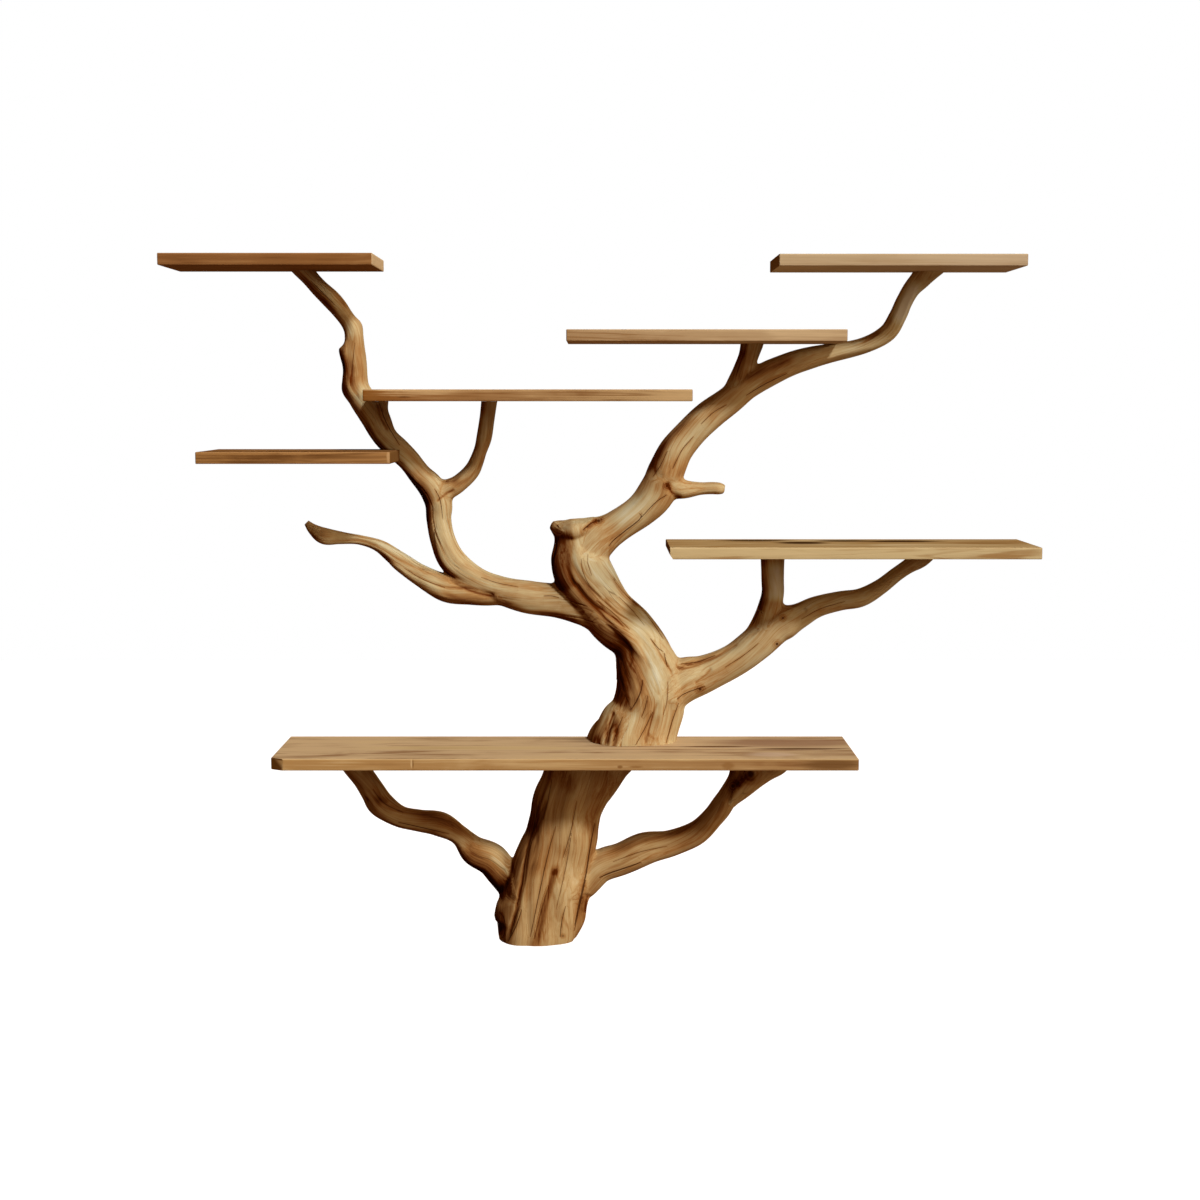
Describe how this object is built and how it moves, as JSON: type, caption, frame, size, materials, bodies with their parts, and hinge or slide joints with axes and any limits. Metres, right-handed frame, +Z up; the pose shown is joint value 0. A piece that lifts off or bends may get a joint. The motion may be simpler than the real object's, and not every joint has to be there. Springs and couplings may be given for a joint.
{
  "type": "tree shaped wall bookshelf",
  "caption": "Wall-hung bookshelf in the shape of a leaning bare tree, with level timber boards carried on the ends of its bent limbs.",
  "frame": {"origin": "on the wall plane at the trunk's crotch, where the left limb leaves it, 829 mm above the sole of the foot", "axes": "+X along the wall to the right as seen from the room, +Y into the wall, +Z up; the boards' fronts face -Y"},
  "size_m": [1.989, 0.28, 1.617],
  "materials": {
    "limb_wood": "oiled, with grain along each limb and dark drying cracks",
    "lower_limb_wood": "oiled, darker and browner than the limbs above",
    "brown_board": "oiled satin",
    "pale_board": "oiled satin, with darker heartwood streaks",
    "dowel_wood": "bare, sanded",
    "plate_steel": "brushed"
  },
  "bodies": {
    "root": {"trunk_base": "lower_limb_wood", "trunk_upper": "limb_wood", "left_brace": "lower_limb_wood", "right_brace": "lower_limb_wood", "left_limb_lower": "limb_wood", "left_limb_middle": "limb_wood", "left_limb_top": "limb_wood", "free_arm": "limb_wood", "shelf3_twig": "limb_wood", "right_limb_lower": "limb_wood", "right_limb_middle": "limb_wood", "right_limb_top": "limb_wood", "shelf4_post": "limb_wood", "right_arm_lower": "limb_wood", "right_arm_tip": "limb_wood", "shelf6_post": "limb_wood", "shelf_top_left": "brown_board", "shelf_left_lower": "brown_board", "shelf_middle_left": "pale_board", "shelf_upper_middle": "pale_board", "shelf_top_right": "pale_board", "shelf_middle_right": "pale_board", "shelf_bottom": "pale_board", "left_brace_dowel": "dowel_wood", "right_brace_dowel": "dowel_wood", "left_limb_dowel": "dowel_wood", "left_bend_dowel": "dowel_wood", "left_top_dowel": "dowel_wood", "free_arm_dowel": "dowel_wood", "shelf3_twig_dowel": "dowel_wood", "right_limb_dowel": "dowel_wood", "right_middle_dowel": "dowel_wood", "right_top_dowel": "dowel_wood", "shelf4_post_dowel": "dowel_wood", "right_arm_dowel": "dowel_wood", "right_arm_tip_dowel": "dowel_wood", "shelf6_post_dowel": "dowel_wood", "trunk_dowel_back": "dowel_wood", "trunk_dowel_front": "dowel_wood", "pin_top_left": "dowel_wood", "pin_left_lower": "dowel_wood", "pin_middle_left_fork": "dowel_wood", "pin_middle_left_twig": "dowel_wood", "pin_upper_middle_post": "dowel_wood", "pin_upper_middle_seat": "dowel_wood", "pin_top_right": "dowel_wood", "pin_middle_right_post": "dowel_wood", "pin_middle_right_tip": "dowel_wood", "pin_bottom_left": "dowel_wood", "pin_bottom_right": "dowel_wood", "hanging_plate_trunk": "plate_steel", "plate_screw_trunk_1": "plate_steel", "plate_screw_trunk_2": "plate_steel", "hanging_plate_left": "plate_steel", "plate_screw_left_1": "plate_steel", "plate_screw_left_2": "plate_steel", "hanging_plate_right": "plate_steel", "plate_screw_right_1": "plate_steel", "plate_screw_right_2": "plate_steel"}
  },
  "joints": []
}
